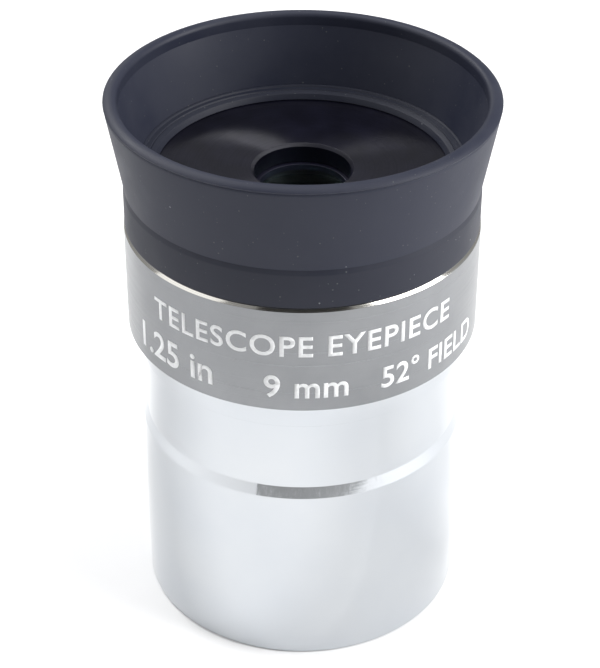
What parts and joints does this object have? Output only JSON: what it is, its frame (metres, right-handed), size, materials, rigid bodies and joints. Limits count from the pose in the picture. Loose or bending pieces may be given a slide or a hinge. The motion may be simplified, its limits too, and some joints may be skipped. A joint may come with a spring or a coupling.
{
  "type": "telescope eyepiece",
  "caption": "Short 9 mm Plossl eyepiece with a chrome 1.25 inch nosepiece, a grey screw-off housing, a cemented doublet stack and a fold-down rubber eyecup.",
  "frame": {"origin": "centre of the nosepiece's bottom end, where the filter thread opens", "axes": "+Z along the optical axis, towards the eye; the piece is turned about +Z, so +X and +Y are free"},
  "size_m": [0.0366, 0.0366, 0.0543],
  "materials": {
    "chrome_barrel": "polished",
    "grey_anodised": "satin",
    "black_plate": "satin",
    "black_anodised": "matte",
    "rubber": "matte",
    "flint_glass": "coated",
    "crown_glass": "polished"
  },
  "bodies": {
    "barrel": {"barrel": "chrome_barrel"},
    "lens_cell": {"lens_cell": "black_anodised", "eye_flint": "flint_glass", "eye_crown": "crown_glass", "lens_spacer": "black_anodised", "field_crown": "crown_glass", "field_flint": "flint_glass", "retaining_ring": "black_anodised", "field_stop": "black_anodised"},
    "housing": {"housing": "grey_anodised", "eye_plate": "black_plate"},
    "eyecup": {"eyecup_sleeve": "rubber", "eyecup_flare": "rubber"},
    "eyecup_rim": {"eyecup_rim": "rubber"}
  },
  "joints": [
    {"name": "housing_lift", "type": "slide", "parent": "barrel", "child": "lens_cell", "axis": [0, 0, 1], "range_m": [0, 0.0045]},
    {"name": "housing_screw", "type": "hinge", "parent": "lens_cell", "child": "housing", "pos_m": [0, 0, 0.0365], "axis": [0, 0, 1], "range_deg": [0, 2160]},
    {"name": "eyecup_turn", "type": "hinge", "parent": "housing", "child": "eyecup", "pos_m": [0, 0, 0.0435], "axis": [0, 0, 1], "continuous": true},
    {"name": "eyecup_fold", "type": "slide", "parent": "eyecup", "child": "eyecup_rim", "axis": [0, 0, 1], "range_m": [-0.0152, 0], "deforming": ["eyecup_flare"]}
  ],
  "couplings": [
    {"joint": "housing_lift", "follows": "housing_screw", "m_per_rad": 0.00011936}
  ]
}
